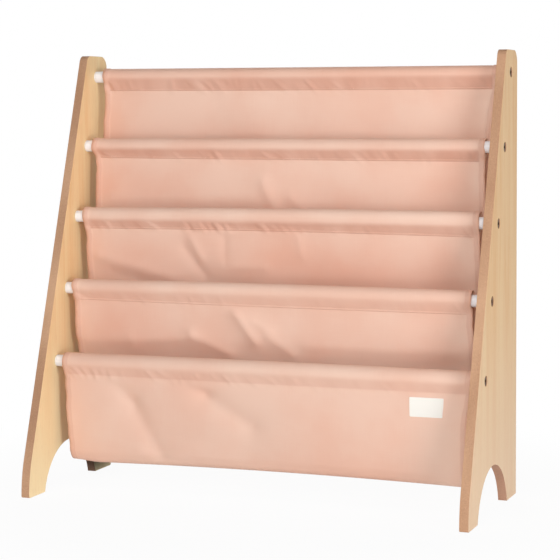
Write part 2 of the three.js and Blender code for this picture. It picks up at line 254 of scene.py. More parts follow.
# Painted shade: the sawn edge is darker inside the arch, between the feet.
ARCH_SHADE = linear(234, 233, 244)
ARCH_SHADE_HEIGHTS = (100 * MM, 120 * MM)
ARCH_SHADE_DEPTHS = (20 * MM, 40 * MM)
ARRIS_BROWN = linear(150, 105, 78)
ARRIS_SHARE = 1.6
FIBRE_STRETCH = (500, 520, 16)
FIGURE_STRETCH = (60, 46, 2.4)
PORE_STRETCH = (900, 1100, 70)
CORE_STRETCH = (1400, 900, 900)
DRIFT_STRETCH = (14, 14, 5)
FIBRE_SHARE = 0.55
FIGURE_SHARE = 0.75
PORE_SHARE = 0.3
GRAIN_RANGE = (0.42, 0.88)
PORE_RANGE = (0.62, 0.75)
CORE_RANGE = (0.35, 0.65)
TURNED_TO_EDGE = (0.55, 0.85)
GRAIN_RELIEF = 0.12 * MM


# %% Wood: the face and the sawn edge
def board_face(finish, fibre, pore):
    """Fibres over a slow figure, with painted light near the floor and painted shade on the right board."""
    across, _, height = finish.parts(finish.place())
    right = across.between(0, panel_low.x)
    low = 1 - height.between(*FLOOR_LIGHT_HEIGHTS)
    figure = finish.clouds(finish.place(FIGURE_STRETCH), warp=0.6)
    grain = (fibre * FIBRE_SHARE + figure * FIGURE_SHARE).between(*GRAIN_RANGE)
    pale = finish.blend(grain, FACE_PALE, FACE_DEEP)
    # Painted light near the floor.
    pale = finish.blend(low * FLOOR_LIGHT_SHARE, pale, finish.blend(right, LEFT_FLOOR_LIGHT, RIGHT_FLOOR_LIGHT))
    # Painted shade on the right board.
    pale = finish.blend(right, pale, RIGHT_BOARD_SHADE, "MULTIPLY")
    return finish.blend(pore * PORE_SHARE, pale, FACE_PORE)


def sawn_edge(finish):
    """The board's brown core, with painted shade that makes it a little darker inside the arch between the
    feet.
    """
    _, depth, height = finish.parts(finish.place())
    core = finish.clouds(finish.place(CORE_STRETCH), rough=0.7)
    drift = finish.clouds(finish.place(DRIFT_STRETCH), detail=2)
    brown = finish.blend((core * 0.5 + drift * 0.5).between(*CORE_RANGE), EDGE_PALE, EDGE_DEEP)
    # Painted shade inside the arch.
    arch = (1 - height.between(*ARCH_SHADE_HEIGHTS)) * (depth - panel_low.y).between(*ARCH_SHADE_DEPTHS)
    arch = arch * (panel_high.y - depth).between(*ARCH_SHADE_DEPTHS)
    return finish.blend(arch, brown, ARCH_SHADE, "MULTIPLY")


def make_wood():
    finish = Finish("pale_wood", Specular_IOR_Level=0.12)
    normal = finish.node("ShaderNodeTexCoord", output="Normal")
    face = abs(finish.parts(normal)[0]).between(*TURNED_TO_EDGE)
    fibre = finish.clouds(finish.place(FIBRE_STRETCH), detail=5, rough=0.6)
    pore = finish.clouds(finish.place(PORE_STRETCH), detail=2).between(*PORE_RANGE)
    surface = finish.blend(face, sawn_edge(finish), board_face(finish, fibre, pore))
    finish.colour(finish.blend(face * (1 - face) * ARRIS_SHARE, surface, ARRIS_BROWN))
    finish.roughness(0.62 - face * 0.14 + fibre * 0.1)
    finish.bump(fibre * 0.7 - pore * 0.5, GRAIN_RELIEF)
    return finish.material


wood = make_wood()
show(wood)

# %% [markdown]
# The sling is plain-woven canvas, dyed a dusty pink. Its yarns are under a millimetre apart, so the weave
# is a relief of two crossing waves, on the cloth's own map so that it follows every fold, and its low
# places are painted a little deeper, as shade. Uneven yarns make long faint streaks both ways, and a slow
# cloudy change of tone keeps the large walls from looking like plastic. Hems and seams are two layers
# thick, which lets less light through, so they are painted a little deeper pink, as shade. The cloth's mesh
# tells the shader two attributes: how much of that painted shade a place takes, and its soft patches of
# uneven tone and of painted light and shade.

# %% Canvas
CLOTH_PALE = linear(246, 213, 194)
CLOTH_DEEP = linear(237, 185, 162)
# Painted shade where two layers of cloth let less light through.
CLOTH_DOUBLE_SHADE = linear(214, 159, 137)
YARN_GAP = 0.85 * MM
TAPE_PALE = linear(255, 253, 247)
TAPE_DEEP = linear(251, 248, 238)
# Painted shade for two layers of tape.
TAPE_DOUBLE_SHADE = linear(245, 240, 228)
TAPE_YARN_GAP = 0.5 * MM
SLUB_LONG = 26
SLUB_FINE = 1300
CLOUD_STRETCH = (9, 9, 9)
CLOUD_SHARE = 0.8
CLOUD_RANGE = (0.36, 0.64)
SHADE_SHARE = 0.4
LEAST_SHADE = 0.3
# How much of the painted shade of two layers shows.
DOUBLE_SHADE_SHARE = 0.6
# Painted shade between the yarns.
WEAVE_SHADE_SHARE = 0.05
WEAVE_RELIEF = 0.1 * MM


def make_canvas(name, pale, deep, double_shade, yarn_gap):
    finish = Finish(name, Specular_IOR_Level=0.25)
    across, along, _ = finish.parts(finish.place(source="UV"))
    weave = across.wave(yarn_gap) * along.wave(yarn_gap) * 0.5 + 0.5
    warp_slub = finish.clouds(finish.place((SLUB_FINE, SLUB_LONG, 1), source="UV"), detail=2)
    weft_slub = finish.clouds(finish.place((SLUB_LONG, SLUB_FINE, 1), source="UV"), detail=2)
    slub = (warp_slub + weft_slub) * 0.5
    cloud = finish.clouds(finish.place(CLOUD_STRETCH))
    layers = finish.node("ShaderNodeAttribute", {"attribute_name": "double_shade"}, output="Fac")
    # Patches of uneven tone and of painted light and shade, from the mesh.
    tone_and_shade_patch = finish.node("ShaderNodeAttribute", {"attribute_name": "tone_and_shade"}, output="Fac")
    shade = (cloud * CLOUD_SHARE + slub * (1 - CLOUD_SHARE)).between(*CLOUD_RANGE)
    cloth = finish.blend(shade * SHADE_SHARE + tone_and_shade_patch + LEAST_SHADE, pale, deep)
    # Painted shade on hems and sewn bands, where two layers lie.
    cloth = finish.blend(layers * DOUBLE_SHADE_SHARE, cloth, double_shade)
    # Painted shade in the low places between the yarns.
    finish.colour(finish.blend((1 - weave) * WEAVE_SHADE_SHARE, cloth, deep, "MULTIPLY"))
    finish.roughness(0.56 + slub * 0.14)
    finish.bump(weave * 0.6 + slub * 0.4, WEAVE_RELIEF)
    return finish.material


canvas = make_canvas("pink_canvas", CLOTH_PALE, CLOTH_DEEP, CLOTH_DOUBLE_SHADE, YARN_GAP)
tape = make_canvas("cream_tape", TAPE_PALE, TAPE_DEEP, TAPE_DOUBLE_SHADE, TAPE_YARN_GAP)
show(canvas, tape)

# %% [markdown]
# The smaller finishes are one function each. Powder coat is nearly smooth with a faint orange peel,
# and nylon is duller and finer. Brass and bronze are metals with a cloudy patina and the fine rings
# of the lathe. Sewing thread is twisted, which a slanting wave shows.

# %% White powder coat and nylon
HANDLED_STRETCH = (40, 40, 40)
DULL_SHARE = 0.93
PEEL_RELIEF = 0.04 * MM


def make_white(name, colour, rough, peel):
    finish = Finish(name, Specular_IOR_Level=0.45)
    grain = finish.clouds(finish.place((peel, peel, peel)), detail=2)
    handled = finish.clouds(finish.place(HANDLED_STRETCH), detail=2)
    dull = (*[channel * DULL_SHARE for channel in colour[:3]], 1)
    finish.colour(finish.blend(handled * 0.5, colour, dull))
    finish.roughness(rough + grain * 0.12)
    finish.bump(grain, PEEL_RELIEF)
    return finish.material


white_coat = make_white("white_powder_coat", linear(248, 249, 253), 0.28, 700)
nylon = make_white("white_nylon", linear(246, 245, 245), 0.42, 1200)
show(white_coat, nylon)

# %% Bronze and brass
RING_STRETCH = (3500, 60, 60)
PATINA_STRETCH = (420, 420, 420)
PATINA_RANGE = (0.35, 0.7)
LATHE_GAP = 0.4 * MM
LATHE_RELIEF = 0.02 * MM


def make_metal(name, bright, dark, rough):
    finish = Finish(name, Metallic=0.9)
    along = finish.parts(finish.place())[0]
    rings = finish.clouds(finish.place(RING_STRETCH), detail=2)
    patina = finish.clouds(finish.place(PATINA_STRETCH), detail=4, rough=0.6)
    lathe = along.wave(LATHE_GAP) * 0.5 + 0.5
    finish.colour(finish.blend(patina.between(*PATINA_RANGE), bright, dark))
    finish.roughness(rough + patina * 0.3)
    finish.bump(rings * 0.5 + lathe * 0.5, LATHE_RELIEF)
    return finish.material


bronze = make_metal("antique_bronze", linear(116, 74, 34), linear(54, 33, 15), 0.3)
brass = make_metal("turned_brass", linear(214, 178, 106), linear(160, 124, 66), 0.22)
show(bronze, brass)

# %% Sewing thread
TWIST_GAP = 0.7 * MM
TWIST_RELIEF = 0.05 * MM
FUZZ_STRETCH = (2600, 2600, 2600)


def make_thread(name, colour, shadow):
    finish = Finish(name, Sheen_Weight=0.2, Specular_IOR_Level=0.3)
    across, depth, height = finish.parts(finish.place())
    twist = (across + depth + height).wave(TWIST_GAP) * 0.5 + 0.5
    fuzz = finish.clouds(finish.place(FUZZ_STRETCH), detail=2)
    finish.colour(finish.blend(twist * 0.5 + fuzz * 0.3, colour, shadow))
    finish.roughness(0.7 + fuzz * 0.2)
    finish.bump(twist, TWIST_RELIEF)
    return finish.material


pink_thread = make_thread("pink_thread", linear(243, 205, 188), linear(230, 190, 172))
cream_thread = make_thread("cream_thread", linear(252, 248, 238), linear(226, 216, 196))
show(pink_thread, cream_thread)

# %% [markdown]
# Each finished shape becomes a piece the same way: it rides on the shelf's one body and stands for the CAD
# nodes that it replaces. Its place is in its mesh, with the object at the origin, as the frame's own nodes
# are.

# %% Turning a shape into a piece of the shelf
SHARP = math.radians(38)


def new_object(name, shape):
    """The bmesh as an object of the scene, at the origin."""
    mesh = bpy.data.meshes.new(name)
    shape.to_mesh(mesh)
    shape.free()
    made = bpy.data.objects.new(name, mesh)
    bpy.context.scene.collection.objects.link(made)
    return made


def remove_object(thing):
    mesh = thing.data
    bpy.data.objects.remove(thing)
    bpy.data.meshes.remove(mesh)


def add_piece(name, shape, material, slot, *nodes):
    piece = new_object(name, shape)
    piece.data.shade_smooth()
    piece.data.set_sharp_from_angle(angle=SHARP)
    piece.data.materials.append(material)
    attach(piece, "root")
    if nodes:
        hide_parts(*nodes)
    return piece


# %% Shaping with a modifier, a cutter or a lathe
MERGE_DISTANCE = 0.001 * MM


def with_modifier(shape, kind, **settings):
    """The bmesh after one modifier, through a passing object that is removed again."""
    passing = new_object("passing", shape)
    modifier = passing.modifiers.new("step", kind)
    for name, value in settings.items():
        setattr(modifier, name, value)
    graph = bpy.context.evaluated_depsgraph_get()
    done = bmesh.new()
    done.from_mesh(passing.evaluated_get(graph).to_mesh())
    remove_object(passing)
    return done


def carved(shape, cutter):
    """The shape with the cutter's space taken out of it."""
    tool = new_object("cutter", cutter)
    done = with_modifier(shape, "BOOLEAN", operation="DIFFERENCE", solver="EXACT", object=tool)
    remove_object(tool)
    return done


def round_bar(radius, length, centre, sides):
    """A closed bar along the X axis, round or with a few flat sides."""
    bar = bmesh.new()
    bmesh.ops.create_cone(
        bar, cap_ends=True, segments=sides, radius1=radius, radius2=radius, depth=length,
        matrix=Matrix.Translation(centre) @ Matrix.Rotation(math.pi / 2, 4, "Y"),
    )
    return bar


def turned(profile, steps, place=(0, 0, 0)):
    """A bmesh turned about the X axis from (along X, radius) pairs."""
    shape = bmesh.new()
    corners = [shape.verts.new((along, radius, 0)) for along, radius in profile]
    edges = [shape.edges.new(pair) for pair in zip(corners, corners[1:])]
    bmesh.ops.spin(
        shape, geom=corners + edges, cent=(0, 0, 0), axis=(1, 0, 0), angle=2 * math.pi,
        steps=steps, use_merge=True,
    )
    bmesh.ops.remove_doubles(shape, verts=shape.verts, dist=MERGE_DISTANCE)
    bmesh.ops.recalc_face_normals(shape, faces=shape.faces)
    bmesh.ops.translate(shape, verts=shape.verts, vec=place)
    return shape


# %% [markdown]
# A side panel is a flat board with a sloping front edge, so it starts as five corner points. The
# round corners are vertex bevels of that flat face: a bevel's offset is how far along the edges the
# arc starts, which the wanted radius and the corner's angle give. The arch and the bolt holes are
# cut out afterwards, as on the real board, and a last edge bevel softens every arris.

# %% Side panels: sizes
TOP_DEPTH = 60.5 * MM
KNEE_HEIGHT = 27 * MM
KNEE_BLEND = 22 * MM
TOP_FRONT_RADIUS = 11 * MM
TOP_BACK_RADIUS = 17 * MM
FOOT_RADIUS = 2.5 * MM
FRONT_FOOT = 45.5 * MM
REAR_FOOT = 51.5 * MM
ARCH_HEIGHT = 61.5 * MM
ARRIS = 0.9 * MM
ARRIS_ANGLE = math.radians(50)
HEAD_HOLE_RADIUS = 6.8 * MM
SHANK_HOLE_RADIUS = 3.4 * MM
HEAD_HOLE_DEPTH = 4.6 * MM
OVERRUN = 2 * MM


def panel_board():
    """The flat blank in the side view, extruded to the panel's thickness, in place on the right."""
    front, back, top = panel_low.y, panel_high.y, panel_high.z
    slope = math.atan2(back - TOP_DEPTH - front, top - KNEE_HEIGHT)
    corners = [
        (front, 0, FOOT_RADIUS),
        (back, 0, FOOT_RADIUS),
        (back, top, TOP_BACK_RADIUS),
        (back - TOP_DEPTH, top, TOP_FRONT_RADIUS / math.tan(math.pi / 4 + slope / 2)),
        (front, KNEE_HEIGHT, KNEE_BLEND),
    ]
    shape = bmesh.new()
    points = [shape.verts.new((panel_low.x, y, z)) for y, z, _ in corners]
    shape.faces.new(points)
    for point, (_, _, offset) in zip(points, corners):
        bmesh.ops.bevel(
            shape, geom=[point], affect="VERTICES", offset=offset, segments=12, profile=0.5,
            offset_type="OFFSET", material=-1,
        )
    block = bmesh.ops.extrude_face_region(shape, geom=shape.faces[:])["geom"]
    moved = [item for item in block if isinstance(item, bmesh.types.BMVert)]
    bmesh.ops.translate(shape, verts=moved, vec=(panel_high.x - panel_low.x, 0, 0))
    bmesh.ops.recalc_face_normals(shape, faces=shape.faces)
    return shape


# %% Side panels: the cutters
def arch_cutter():
    span = panel_high.y - panel_low.y - FRONT_FOOT - REAR_FOOT
    radius = (span * span / 4 + ARCH_HEIGHT ** 2) / (2 * ARCH_HEIGHT)
    middle_x = (panel_low.x + panel_high.x) / 2
    middle_y = panel_low.y + FRONT_FOOT + span / 2
    length = panel_high.x - panel_low.x + 2 * OVERRUN
    return round_bar(radius, length, (middle_x, middle_y, ARCH_HEIGHT - radius), 160)


def bolt_hole_cutter(rod):
    step = panel_high.x - HEAD_HOLE_DEPTH
    profile = [
        (panel_low.x - OVERRUN, 0), (panel_low.x - OVERRUN, SHANK_HOLE_RADIUS),
        (step, SHANK_HOLE_RADIUS), (step, HEAD_HOLE_RADIUS),
        (panel_high.x + OVERRUN, HEAD_HOLE_RADIUS), (panel_high.x + OVERRUN, 0),
    ]
    return turned(profile, 32, (0, rod.y, rod.z))


# %% Side panels: both boards
def add_panels():
    board = carved(panel_board(), arch_cutter())
    for rod in rods:
        board = carved(board, bolt_hole_cutter(rod))
    board = with_modifier(
        board, "BEVEL", width=ARRIS, segments=3, limit_method="ANGLE", angle_limit=ARRIS_ANGLE
    )
    for side, sign in SIDES.items():
        copy = board.copy()
        if sign < 0:
            bmesh.ops.scale(copy, vec=(-1, 1, 1), verts=copy.verts)
            bmesh.ops.recalc_face_normals(copy, faces=copy.faces)
        bmesh.ops.triangulate(copy, faces=[f for f in copy.faces if len(f.verts) > 4])
        piece = add_piece(f"panel_{side}", copy, wood, "panel_wood", f"side_panel_{side}")
        weights = piece.modifiers.new("flat faces", "WEIGHTED_NORMAL")
        weights.keep_sharp = True
        print(piece.name, len(piece.data.polygons), "faces")
    board.free()


add_panels()

# %% [markdown]
# The rods are steel tubes with a white coat. Between each tube and the panel sits the collar of a
# nylon plug, which carries the brass insert for the bolt. All of them are turned about the X axis
# from a profile, which is how a lathe would make them, with a small chamfer on each end.

# %% Rods
TUBE_WALL = 1.2 * MM
CHAMFER = 0.3 * MM


def add_rods():
    bore = rod_radius - TUBE_WALL
    profile = [
        (-rod_half + CHAMFER, bore), (-rod_half, bore + CHAMFER), (-rod_half, rod_radius - CHAMFER),
        (-rod_half + CHAMFER, rod_radius), (rod_half - CHAMFER, rod_radius),
        (rod_half, rod_radius - CHAMFER), (rod_half, bore + CHAMFER), (rod_half - CHAMFER, bore),
        (-rod_half + CHAMFER, bore),
    ]
    for level, rod in zip(LEVELS, rods):
        tube = turned(profile, 48, (0, rod.y, rod.z))
        add_piece(f"tube_{level}", tube, white_coat, "white_steel", f"rod_{level}")


add_rods()
print("made", len(rods), "tubes of", round(2 * rod_half / MM), "mm")

# %% Plugs, inserts and bolts: profiles for the right end, from the panel's inner face
FIT = 0.3 * MM
COLLAR = 2 * MM
PLUG_LENGTH = 24 * MM
INSERT_RADIUS = 4.5 * MM
INSERT_LENGTH = 15 * MM
BOLT_RADIUS = 3 * MM
HEAD_RADIUS = 6.4 * MM
HEAD_HEIGHT = 3.6 * MM
HEAD_SINK = 0.7 * MM
BOLT_LENGTH = 20 * MM
PLAIN_SHANK = 4 * MM
SOCKET_RADIUS = 2.4 * MM
SOCKET_DEPTH = 2.3 * MM
THREAD_PITCH = 1 * MM
KNURLS = 9


def plug_shape():
    stem = rod_radius - TUBE_WALL - FIT
    bore = INSERT_RADIUS + FIT
    face = -FIT
    profile = [
        (face - PLUG_LENGTH, bore), (face - PLUG_LENGTH, stem - 3 * CHAMFER),
        (face - PLUG_LENGTH + 3 * CHAMFER, stem), (face - COLLAR, stem),
        (face - COLLAR, rod_radius - CHAMFER), (face - COLLAR + CHAMFER, rod_radius),
        (face - CHAMFER, rod_radius), (face, rod_radius - CHAMFER), (face, bore),
        (face - PLUG_LENGTH, bore),
    ]
    return turned(profile, 48)


def insert_shape():
    face = -2 * FIT
    profile = [(face - INSERT_LENGTH, BOLT_RADIUS + FIT), (face - INSERT_LENGTH, INSERT_RADIUS - CHAMFER)]
    for ring in range(KNURLS):
        start = face - INSERT_LENGTH + CHAMFER + ring * (INSERT_LENGTH - 2 * CHAMFER) / KNURLS
        half = (INSERT_LENGTH - 2 * CHAMFER) / KNURLS / 2
        profile += [(start + CHAMFER / 2, INSERT_RADIUS), (start + half, INSERT_RADIUS)]
        profile += [(start + half + CHAMFER / 2, INSERT_RADIUS - CHAMFER)]
    profile += [(face, INSERT_RADIUS - CHAMFER), (face, BOLT_RADIUS + FIT)]
    return turned(profile + profile[:1], 24)


def bolt_shape():
    thickness = panel_high.x - panel_low.x
    top = thickness - HEAD_SINK
    under = top - HEAD_HEIGHT
    tip = under - BOLT_LENGTH
    profile = [(tip, 0), (tip, BOLT_RADIUS - 2 * CHAMFER)]
    turns = int((BOLT_LENGTH - PLAIN_SHANK) / THREAD_PITCH)
    for turn in range(turns):
        start = tip + 2 * CHAMFER + turn * THREAD_PITCH
        profile += [(start, BOLT_RADIUS - 2 * CHAMFER), (start + THREAD_PITCH / 2, BOLT_RADIUS)]
    profile += [
        (tip + 2 * CHAMFER + turns * THREAD_PITCH, BOLT_RADIUS), (under, BOLT_RADIUS), (under, HEAD_RADIUS),
        (top - 3 * CHAMFER, HEAD_RADIUS), (top - 1.5 * CHAMFER, HEAD_RADIUS - CHAMFER / 2),
        (top - CHAMFER / 2, HEAD_RADIUS - 1.5 * CHAMFER), (top, HEAD_RADIUS - 3 * CHAMFER), (top, 0),
    ]
    return carved(turned(profile, 36), round_bar(SOCKET_RADIUS, 2 * SOCKET_DEPTH, (top, 0, 0), 6))


# %% Plugs, inserts and bolts: ten of each
def add_rod_ends():
    kinds = {
        "plug": (plug_shape(), nylon, "white_nylon", "rod_plug"),
        "insert": (insert_shape(), brass, "brass_insert", "threaded_insert"),
        "screw": (bolt_shape(), bronze, "bronze_bolt", "bolt"),
    }
    for name, (shape, material, slot, node) in kinds.items():
        for level, rod in zip(LEVELS, rods):
            for side, sign in SIDES.items():
                copy = shape.copy()
                turn = Matrix.Rotation(math.pi if sign < 0 else 0, 4, "Z")
                place = Matrix.Translation((sign * panel_low.x, rod.y, rod.z))
                bmesh.ops.transform(copy, matrix=place @ turn, verts=copy.verts)
                add_piece(f"{name}_{side}_{level}", copy, material, slot, f"{node}_{side}_{level}")
        print(name, "made", 2 * len(rods), "times")
        shape.free()


add_rod_ends()

# %% [markdown]
# The sling's line is the hard part. Seen from the side, one cloth comes up behind a rod, goes over
# it, is sewn to itself below it, hangs as the pocket's back wall, turns at the floor and climbs as
# the front wall to the next rod's seam. The CAD solids follow a line of a few chosen points, and
# the cloth follows the same one here with closer steps, so it stays in the space that they hold.

# %% The sling's line: sizes, and shares with one row for each rod from the top
INNER_OFFSET = 0.6 * MM
SLEEVE_CLEARANCE = 2.4 * MM
SLEEVE_RADIUS = rod_radius + SLEEVE_CLEARANCE + INNER_OFFSET
LAYER_STEP = 1.5 * MM
LAYER_SPREAD = 3.4 * MM
SEAM_DROP = 20 * MM
SEAM_TAIL = 2 * MM
CLOTH_THICK = 0.65 * MM
OUTER_OFFSET = INNER_OFFSET + CLOTH_THICK
POCKET_DEPTH = 141 * MM
CLOTH_STEP = 2.8 * MM
FINENESS = 40

SEAM_DROP_SHARES = [0.97, 0.84, 0.75, 0.77, 0.92]
SEAM_SWAY_SHARES = [-0.09, 0.015, -0.04, -0.09, -0.14]
SLEEVE_SHIFT_SHARES = [(0.15, 0), (0.62, 0.25), (0.3, 0.87), (0, 0.95), (-0.15, 0.15)]
BACK_DROP_SHARES = [0.17, 0.27, 0.37, 0.47, 0.65, 0.85]
BACK_SWAY_SHARES = [
    [-0.1, -0.12, -0.15, -0.13, -0.07, -0.04],
    [-0.02, -0.03, -0.02, 0, 0.05, 0.07],
    [0.05, 0.15, 0.25, 0.31, 0.37, 0.37],
    [-0.03, 0.09, 0.33, 0.46, 0.55, 0.53],
]
FRONT_DROP_SHARES = [0.3, 0.52, 0.74, 0.89]
FRONT_SWAY_SHARES = [-0.12, -0.06, 0, 0.06]
FLOOR_SHARES = [(0.13, 0.975), (0.36, 1), (0.62, 0.99), (0.86, 0.93)]


# %% Smooth steps, and a smooth line through chosen points
def smooth_step(value, low, high):
    share = min(max((value - low) / (high - low), 0), 1)
    return share * share * (3 - 2 * share)


def curve_point(points, place):
    """The Catmull-Rom curve at a place counted in points."""
    last = len(points) - 1
    start = min(int(place), last - 1)
    share = place - start
    a = points[max(start - 1, 0)]
    b = points[start]
    c = points[start + 1]
    d = points[min(start + 2, last)]
    leave = (c - a) / 2
    arrive = (d - b) / 2
    cubic = (b - c) * 2 + leave + arrive
    square = (c - b) * 3 - leave * 2 - arrive
    return cubic * share ** 3 + square * share ** 2 + leave * share + b


def smooth_line(points, gap):
    """Even points along the curve, about one gap apart."""
    fine = [curve_point(points, step / FINENESS) for step in range(FINENESS * (len(points) - 1) + 1)]
    lengths = [0]
    for before, after in zip(fine, fine[1:]):
        lengths.append(lengths[-1] + (after - before).length)
    count = max(1, round(lengths[-1] / gap))
    line, at = [], 0
    for step in range(count + 1):
        wanted = lengths[-1] * step / count
        while at < len(lengths) - 2 and lengths[at + 1] < wanted:
            at += 1
        share = (wanted - lengths[at]) / (lengths[at + 1] - lengths[at])
        line.append(fine[at].lerp(fine[at + 1], share))
    return line


# %% The sling's line: sleeves and walls, in depth and height
def rod_point(rod):
    return Vector((rods[rod].y, rods[rod].z))


def seam_below(rod):
    return SEAM_DROP_SHARES[rod] * SEAM_DROP


def seam_point(rod, layer=0):
    sway = SEAM_SWAY_SHARES[rod] * step_forward + layer * LAYER_STEP
    return rod_point(rod) + Vector((sway, -seam_below(rod)))


def sleeve_point(rod):
    """The middle of a sleeve's round, which is looser than the rod and so lies a little off it."""
    return rod_point(rod) + Vector(SLEEVE_SHIFT_SHARES[rod]) * SLEEVE_CLEARANCE


def touch_angle(rod, point, side):
    """Where a straight cloth from the point first touches the sleeve's round."""
    away = point - sleeve_point(rod)
    return math.atan2(away.y, away.x) - side * math.acos(SLEEVE_RADIUS / away.length)


def sleeve_line(rod):
    """Up behind the rod, over it and down its front, as (point, rod, nearness, layers) stations."""
    behind, front = seam_point(rod, 1), seam_point(rod)
    start = touch_angle(rod, behind, -1)
    end = touch_angle(rod, front, 1)
    end += 2 * math.pi if end < start else 0
    steps = round(SLEEVE_RADIUS * (end - start) / (CLOTH_STEP / 2))
    arc = []
    for step in range(steps + 1):
        angle = start + (end - start) * step / steps
        arc.append(sleeve_point(rod) + Vector((math.cos(angle), math.sin(angle))) * SLEEVE_RADIUS)
    tail = behind + Vector((0, -SEAM_TAIL))
    up = smooth_line([tail, behind], CLOTH_STEP) + smooth_line([behind, arc[0]], CLOTH_STEP)[1:]
    down = smooth_line([arc[-1], front], CLOTH_STEP)[1:]
    under = rods[rod].z - rod_radius
    # How far each station lies in the sewn band, which takes painted shade.
    second_layer_shade = [smooth_step(under - point.y, -rod_radius, 0) for point in up + arc[1:] + down]
    return [(point, rod, 1, share) for point, share in zip(up + arc[1:] + down, second_layer_shade)]


def back_wall(pocket):
    points = [seam_point(pocket)]
    for drop, sway in zip(BACK_DROP_SHARES, BACK_SWAY_SHARES[pocket]):
        offset = Vector((sway * step_forward, -drop * (step_down + POCKET_DEPTH)))
        points.append(rod_point(pocket) + offset)
    return points


def front_wall(rod):
    """Hanging free from the front rod, and behind the next pocket's back wall from the others."""
    if rod == FRONT_ROD:
        points = [seam_point(rod)]
        for drop, sway in zip(FRONT_DROP_SHARES, FRONT_SWAY_SHARES):
            points.append(rod_point(rod) + Vector((sway * step_forward, -drop * POCKET_DEPTH)))
        return points
    points = [seam_point(rod, 2) + Vector((0, -2 * INNER_OFFSET))]
    ahead = smooth_line(back_wall(rod), CLOTH_STEP)
    for index, drop in enumerate(FRONT_DROP_SHARES):
        height = rods[rod].z - drop * POCKET_DEPTH
        near = min(ahead, key=lambda point: abs(point.y - height))
        spread = LAYER_STEP + LAYER_SPREAD * min(1, (index + 1) / 2)
        points.append(near + Vector((spread, 0)))
    return points


def pocket_line(pocket):
    """All the stations of one pocket's cloth, from its sleeve to the next rod's seam.

    Nearness says how far the station's rod shapes the cloth: it grows from none where the back wall
    turns into the floor, so that the front wall's folds and ends don't break the back wall.
    """
    back, front = back_wall(pocket), front_wall(pocket + 1)[::-1]
    low, high = front[0], back[-1]
    floor = []
    for across, down in FLOOR_SHARES[::-1]:
        height = rods[pocket + 1].z - down * POCKET_DEPTH
        floor.append(Vector((low.x + across * (high.x - low.x), height)))
    line = sleeve_line(pocket)
    line += [(point, pocket, 1, 0) for point in smooth_line(back, CLOTH_STEP)[1:]]
    under = smooth_line([high, *floor, low], CLOTH_STEP)
    for step, point in enumerate(under[1:]):
        line.append((point, pocket + 1, smooth_step(step / len(under), 0, 0.5), 0))
    line += [(point, pocket + 1, 1, 0) for point in smooth_line(front, CLOTH_STEP)[1:]]
    if pocket + 1 == FRONT_ROD:
        line += sleeve_line(pocket + 1)[::-1][1:]
    return line


print("seams below the rods:", [round(seam_below(rod) / MM, 1) for rod in range(len(rods))], "mm")

# %% [markdown]
# Folds are what makes the cloth hang. A cloth simulation would make folds of its own, but the photograph
# shows which ones this sling has, so each is listed: a soft ridge or valley along a short line, at its
# place on the wall. Between the rod and its seam the stitching draws the cloth into small slanting puckers,
# which come from noise that leans the way they do. Noise is the same at every run, and the odd numbers in
# its place only keep one rod's pattern apart from the next one's.
#
# A fold is written as the place where it starts and the place where it ends, across from the middle
# and down from the rod, as shares of the cloth's width and of the pocket's depth. Its height follows
# as a share, with a minus for a valley, and its width in millimetres.

# %% Folds and puckers: sizes, with one row of folds for each rod from the top
FOLD_DEPTH = 4 * MM
FOLD_CREST = 0.5
FOLD_FALL = 1.5
SLACK_RISE = 1.3 * MM
SLACK_ACROSS = 90 * MM
SLACK_DOWN = 70 * MM

FOLD_SHARES = [
    [(-0.19, 0.24, -0.19, 0.59, -0.3, 30), (-0.08, 0.24, -0.08, 0.59, 0.3, 30),
     (0.44, 0.2, 0.38, 0.6, -0.4, 30)],
    [(-0.45, 0.52, -0.08, 0.5, 0.5, 12), (-0.05, 0.34, -0.02, 0.62, 0.9, 12),
     (0.02, 0.5, 0.05, 0.62, 0.5, 10), (0.42, 0.22, 0.34, 0.62, -0.4, 30)],
    [(-0.46, 0.4, -0.27, 0.6, 1, 14), (-0.43, 0.56, -0.36, 0.6, -0.5, 9),
     (-0.235, 0.3, -0.185, 0.56, -0.8, 11), (-0.215, 0.2, -0.19, 0.4, 0.6, 8),
     (-0.13, 0.16, -0.13, 0.45, -0.5, 8), (-0.13, 0.47, -0.03, 0.47, 0.8, 12),
     (0.02, 0.54, 0.45, 0.54, 0.15, 12), (0.055, 0.12, 0.065, 0.34, 0.4, 8)],
    [(-0.47, 0.54, -0.36, 0.5, 0.8, 14), (-0.34, 0.51, -0.19, 0.45, 0.8, 12),
     (-0.19, 0.43, -0.1, 0.6, 0.9, 11), (-0.08, 0.16, -0.03, 0.46, 1.3, 11),
     (-0.03, 0.28, 0.01, 0.36, 0.5, 9), (0, 0.4, 0.06, 0.58, 0.8, 12), (0.1, 0.5, 0.46, 0.5, 0.5, 14)],
    [(-0.36, 0.2, -0.32, 0.4, -0.9, 14), (-0.32, 0.38, -0.25, 0.9, -1.4, 17),
     (-0.165, 0.16, -0.13, 0.27, -0.7, 10), (-0.13, 0.27, -0.02, 0.54, -1.5, 19),
     (-0.23, 0.68, -0.03, 0.8, -0.5, 20), (-0.3, 0.88, -0.24, 0.94, 0.5, 12)],
]
PUCKER_GAP = 8.5 * MM
PUCKER_LEAN = 0.6
PUCKER_DEPTH = 2.8 * MM
PUCKER_START_SHARES = (0.15, 0.65)
PUCKER_END_SHARES = (0.95, 1.5)
PUCKER_EDGE_SHARES = (0.88, 0.95)
PUCKER_EDGE_SHARE = 0.6
PUCKER_LEAST_SHARE = 0.25
RIPPLE_SHARE = 0.4
RIPPLE_DIP_SHARE = -0.1
LEAN_GAP = 6 * PUCKER_GAP
PUCKER_SHARES = [(-0.2, 0.5, 0.5), (-0.1, 0.5, 0.6), (-0.15, 0.28, 1.4), (-0.3, 0.3, 0.4), (-0.2, 0.3, 0.8)]

